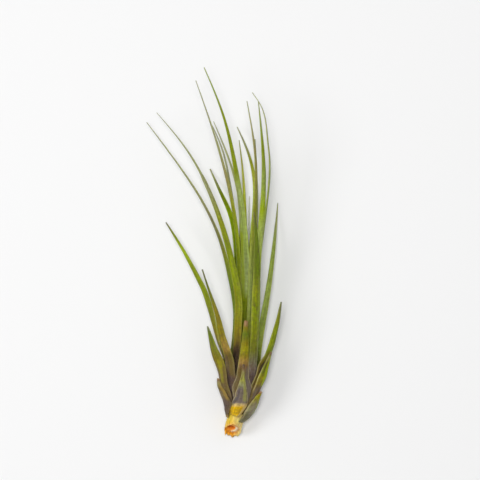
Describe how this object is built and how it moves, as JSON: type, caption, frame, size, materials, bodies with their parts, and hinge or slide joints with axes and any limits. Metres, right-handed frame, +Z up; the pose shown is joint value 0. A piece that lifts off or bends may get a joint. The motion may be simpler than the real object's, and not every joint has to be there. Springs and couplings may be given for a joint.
{
  "type": "air plant",
  "caption": "Small air plant lying down: a short broken yellow stem, a bulb of grey scaled leaf bases and a fan of long narrow pointed leaves.",
  "frame": {"origin": "on the surface the plant rests on, in the flat spot under the bulb of leaf bases", "axes": "+Y from the broken stem to the leaf tips, +X to the plant's right as seen from above, +Z up to the side that faces the viewer"},
  "size_m": [0.0734, 0.1998, 0.0347],
  "materials": {
    "stem_flesh": "moist torn plant tissue, satin",
    "scaled_leaf": "matt, fine silvery scales over purple-grey",
    "spotted_leaf": "satin, olive with purple-brown mottling",
    "green_leaf": "satin, olive green with fine scales",
    "fine_leaf": "satin, pale olive green"
  },
  "bodies": {
    "root": {"stem": "stem_flesh", "leaf_front_lowest": "scaled_leaf", "leaf_right_lowest": "scaled_leaf", "leaf_left_lowest": "scaled_leaf", "leaf_under_lowest": "scaled_leaf", "leaf_right_short": "scaled_leaf", "leaf_front_broken": "scaled_leaf", "leaf_left_short": "scaled_leaf", "leaf_under_right_short": "scaled_leaf", "leaf_under_left_short": "scaled_leaf", "leaf_left_spotted": "spotted_leaf", "leaf_front_spotted": "spotted_leaf", "leaf_left_broad": "spotted_leaf", "leaf_right_curved": "green_leaf", "leaf_right_outer": "green_leaf", "leaf_left_slim": "green_leaf", "leaf_under_pale": "green_leaf", "leaf_under_middle": "green_leaf", "leaf_left_resting": "green_leaf", "leaf_under_right_long": "green_leaf", "leaf_right_broad": "green_leaf", "leaf_left_far": "green_leaf", "leaf_centre_longest": "green_leaf", "leaf_left_upper": "green_leaf", "leaf_left_fine": "fine_leaf", "leaf_centre_fine": "fine_leaf", "leaf_right_slim": "fine_leaf", "leaf_left_finest": "fine_leaf", "leaf_heart_right": "fine_leaf", "leaf_heart_short": "fine_leaf", "leaf_heart_young": "fine_leaf"}
  },
  "joints": []
}
